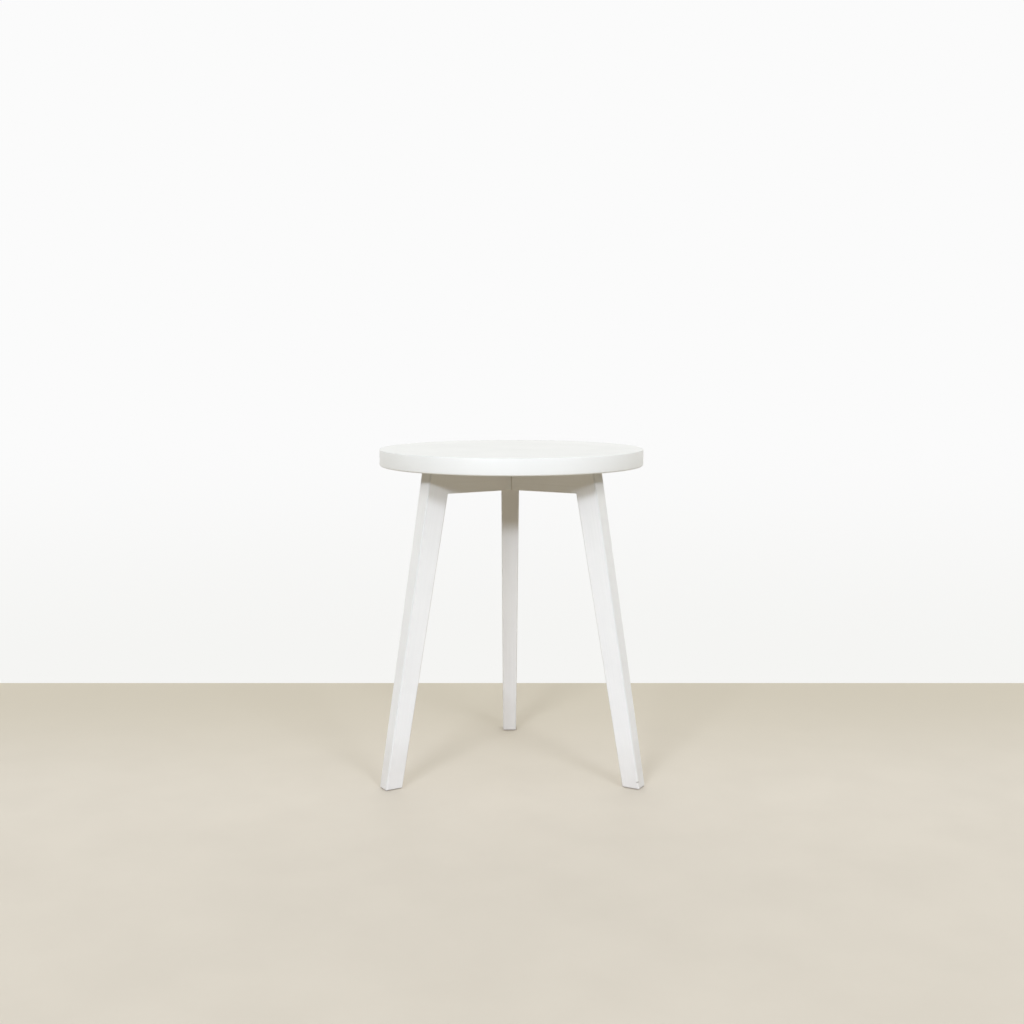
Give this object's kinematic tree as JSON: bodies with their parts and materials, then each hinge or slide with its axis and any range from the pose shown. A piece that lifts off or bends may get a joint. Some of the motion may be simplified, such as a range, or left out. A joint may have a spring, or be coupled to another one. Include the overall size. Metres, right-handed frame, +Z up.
{
  "type": "round side table",
  "caption": "Low round side table with a thick lacquered top on three splayed, tapered legs joined by mitred rails.",
  "frame": {"origin": "on the floor, at the centre of the table's bounding box; the top's own axis stands 12.3 mm toward -Y of it, because the rear foot reaches past the top and nothing does in front", "axes": "+Z up, the rear leg toward +Y, the two front legs toward -Y at 120 degrees to it; metres"},
  "size_m": [0.4499, 0.4746, 0.56],
  "materials": {
    "lacquered_top": "opaque off-white satin lacquer over a smooth board",
    "lacquered_frame": "opaque off-white satin lacquer over planed beech",
    "beech_dowel": "plain turned beech, glued in",
    "zinc_screw": "bright zinc plate",
    "nylon_glide": "moulded nylon, worn smooth below",
    "steel_nail": "plain drawn steel"
  },
  "bodies": {
    "root": {"table_top": "lacquered_top", "leg_front_left": "lacquered_frame", "leg_front_right": "lacquered_frame", "leg_rear": "lacquered_frame", "rail_front_left": "lacquered_frame", "rail_front_right": "lacquered_frame", "rail_rear": "lacquered_frame", "glide_front_left": "nylon_glide", "glide_front_right": "nylon_glide", "glide_rear": "nylon_glide", "leg_dowels": "beech_dowel", "mitre_dowels": "beech_dowel", "top_screws": "zinc_screw", "glide_nails": "steel_nail"}
  },
  "joints": []
}
